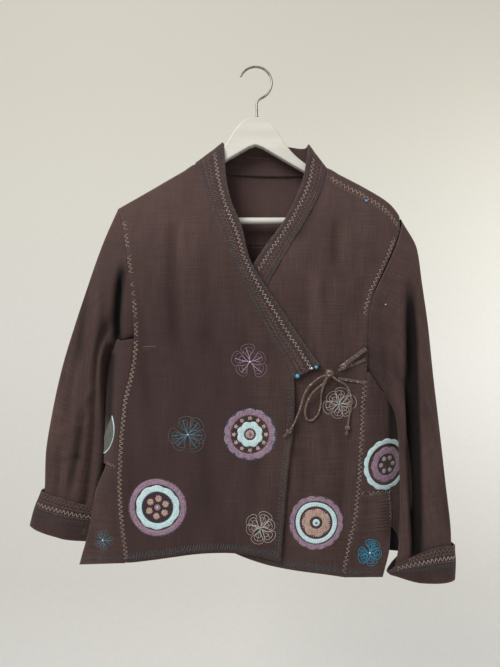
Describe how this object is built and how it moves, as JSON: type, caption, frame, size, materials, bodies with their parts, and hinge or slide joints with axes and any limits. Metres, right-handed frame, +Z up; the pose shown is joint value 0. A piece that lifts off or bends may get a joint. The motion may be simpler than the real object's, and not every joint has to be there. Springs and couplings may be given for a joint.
{
  "type": "kimono wrap jacket on wooden hanger",
  "caption": "Short brown kimono-style wrap jacket with side bow, stitched flowers and applique wheels, on a wooden hanger.",
  "frame": {"origin": "inner crown of the hanger's hook, where a rail or wall hook carries it", "axes": "+Z up, front faces -Y, +X towards the wearer's left"},
  "size_m": [0.6516, 0.0679, 0.7743],
  "materials": {
    "cloth": "matt",
    "tie": "matt",
    "wood": "satin paint",
    "steel": "satin"
  },
  "bodies": {
    "root": {"front_right": "cloth", "front_left": "cloth", "back_yoke": "cloth", "back_lower": "cloth", "neckband": "cloth", "side_right": "cloth", "gore_right": "cloth", "sleeve_right": "cloth", "cuff_right": "cloth", "side_left": "cloth", "gore_left": "cloth", "sleeve_left": "cloth", "cuff_left": "cloth", "tie_strap": "tie", "tie_ribbon": "tie", "tie_strip": "tie", "tie_tail_right": "tie", "tie_tail_left": "tie", "tie_loop": "tie", "tie_knot": "tie", "tie_end_right": "tie", "tie_end_left": "tie", "hanger_arms": "wood", "hanger_bar": "wood", "hanger_hook": "steel"}
  },
  "joints": []
}
